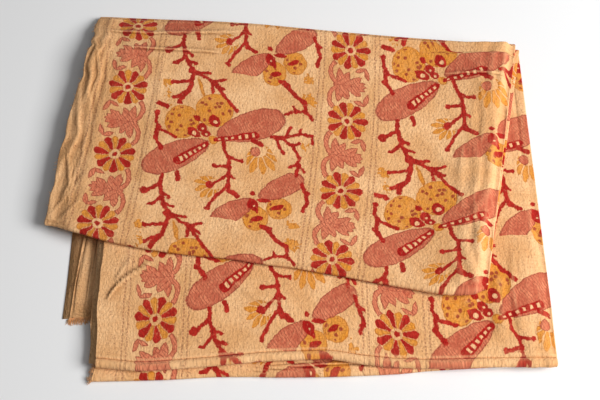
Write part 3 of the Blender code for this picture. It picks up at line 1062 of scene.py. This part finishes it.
    paint(cloudy.ramp(0.36, 0.66), dyes["groundPale"])
    paint((slubU + slubV + grain * 1.3 - 1.52).ramp(0.0, 1.0) * 0.75, dyes["groundDeep"])
    paint(grain.ramp(0.56, 0.78) * 0.4, dyes["groundPale"])
    paint(hairs.ramp(0.68, 0.76) * (patchy.ramp(0.38, 0.56) * 0.6), dyes["line"])
    paint((dotted + worn * 0.8).inside(0.9) * 0.56, dyes["line"])

    ochreIn = (ochre + worn).inside(0.9)
    paint(ochreIn * (0.66 + patchy * 0.42), dyes["ochre"])
    paint(hairs.ramp(0.60, 0.72) * ochreIn * 0.55, dyes["ochreDeep"])
    paint(((ochre + 0.4).size() - 0.35).inside(0.7) * 0.62, dyes["ochreDeep"])
    paint((spotted + worn * 0.6).inside(0.9) * 0.85, dyes["spot"])

    strokes = ((u * 0.80 - v * 0.60) * (2 * math.pi / 2.7) + patchy * 7.0).math("SINE")
    strokes = strokes.ramp(0.35, 1.0) * patchy.ramp(0.38, 0.58)
    brickIn = (brick + worn * 1.1).inside(0.9)
    brickPale = (patchy + grain * 0.6 + brickBand.inside(1.0) * 0.18).ramp(0.66, 1.06)
    brickTone = tree.mix(brickPale, dyes["brick"], dyes["brickPale"])
    brickTone = tree.mix(strokes * 0.68, brickTone, dyes["brickDeep"])
    paint(brickIn * 0.93, brickTone)
    paint((outline + worn * 0.5).inside(0.6) * 0.62, dyes["brickDeep"])

    crimsonIn = (crimson + worn).inside(0.9)
    crimsonPale = (patchy + grain * 0.5).ramp(0.72, 1.02)
    paint(crimsonIn * 0.98, tree.mix(crimsonPale, dyes["crimson"], dyes["crimsonPale"]))
    paint((pale + worn * 0.6).inside(0.8) * 0.9, dyes["groundPale"])

    # fading, painted highlight on ridges and painted shade in creases
    paint(uneven(3.2, 3.0).ramp(0.60, 0.88) * 0.21, dyes["groundPale"])
    folds = tree.add("Attribute", {"attribute_name": "folds"}, {})[2]
    # painted highlight: ridges are mixed towards the pale ground colour
    paint(((0.5 - folds) * 0.9).most(0.0), dyes["groundPale"])
    # painted shade: grooves are multiplied towards a dark brown
    inputs = {"Factor": ((folds - 0.5) * 1.9).most(0.0), "A": colour, "B": dyes["paintedShading"]}
    colour = tree.add("Mix", {"data_type": "RGBA", "blend_type": "MULTIPLY"}, inputs)[2]

    # weave
    wu, wv, _ = tree.add("SeparateXYZ", {}, (place,))
    weave = (wu * (2 * math.pi / 0.9)).math("SINE") + (wv * (2 * math.pi / 0.85)).math("SINE")
    relief = weave * 0.04 + slubU * 0.22 + slubV * 0.22 + speck * 0.4 + grain * 1.3 + patchy * 0.9
    bump = tree.add("Bump", {}, {"Strength": 0.9, "Distance": 0.0007, "Height": relief})[0]
    tree.dress({
        "Base Color": colour, "Normal": bump, "Roughness": 0.86 + speck * 0.12,
        "Specular IOR Level": 0.15, "Sheen Weight": 0.05, "Sheen Roughness": 0.5,
    })
    return tree


cotton = printedCotton()
clothPiece.data.materials.append(cotton.material)
threads.data.materials.append(cotton.material)
print("print made:", len(cotton.nodes), "nodes")

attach(clothPiece, "root")
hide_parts("cloth")
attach(threads, "root")

bpy.ops.mesh.primitive_plane_add(size=12.0, location=(0.0, 0.0, 0.0))
floor = bpy.context.object
floor.name = "floor"
floorLook = Tree("floor_white")
floorLook.dress({"Base Color": (0.80, 0.80, 0.80, 1), "Roughness": 0.9})
floor.data.materials.append(floorLook.material)


def aim(thing, place, target):
    way = Vector(target) - Vector(place)
    thing.rotation_euler = way.to_track_quat("-Z", "Y").to_euler()


def areaLight(name, place, target, size, power):
    bpy.ops.object.light_add(type="AREA", location=place)
    light = bpy.context.object
    light.name = name
    light.data.size, light.data.energy = size, power
    aim(light, place, target)


areaLight("window_right", (1.97, -0.50, 1.56), (0.0, 0.0, 0.0), 1.3, 95.0)
areaLight("soft_top", (0.5, 0.1, 1.9), (0.05, 0.0, 0.0), 1.6, 7.0)

scene.world = scene.world or bpy.data.worlds.new("studio")
scene.world.use_nodes = True
background = scene.world.node_tree.nodes["Background"].inputs
background["Color"].default_value = (1.0, 1.0, 1.0, 1)
background["Strength"].default_value = 0.09
scene.view_settings.view_transform = "Standard"

view = {"place": (0.007, -0.4135, 0.8439), "target": (0.007, -0.0293, 0.020), "lens": 54.0}
bpy.ops.object.camera_add(location=view["place"])
camera = bpy.context.object
aim(camera, view["place"], view["target"])
camera.data.lens = view["lens"]
camera.data.sensor_width = 36.0
camera.data.clip_start = 0.05
scene.camera = camera
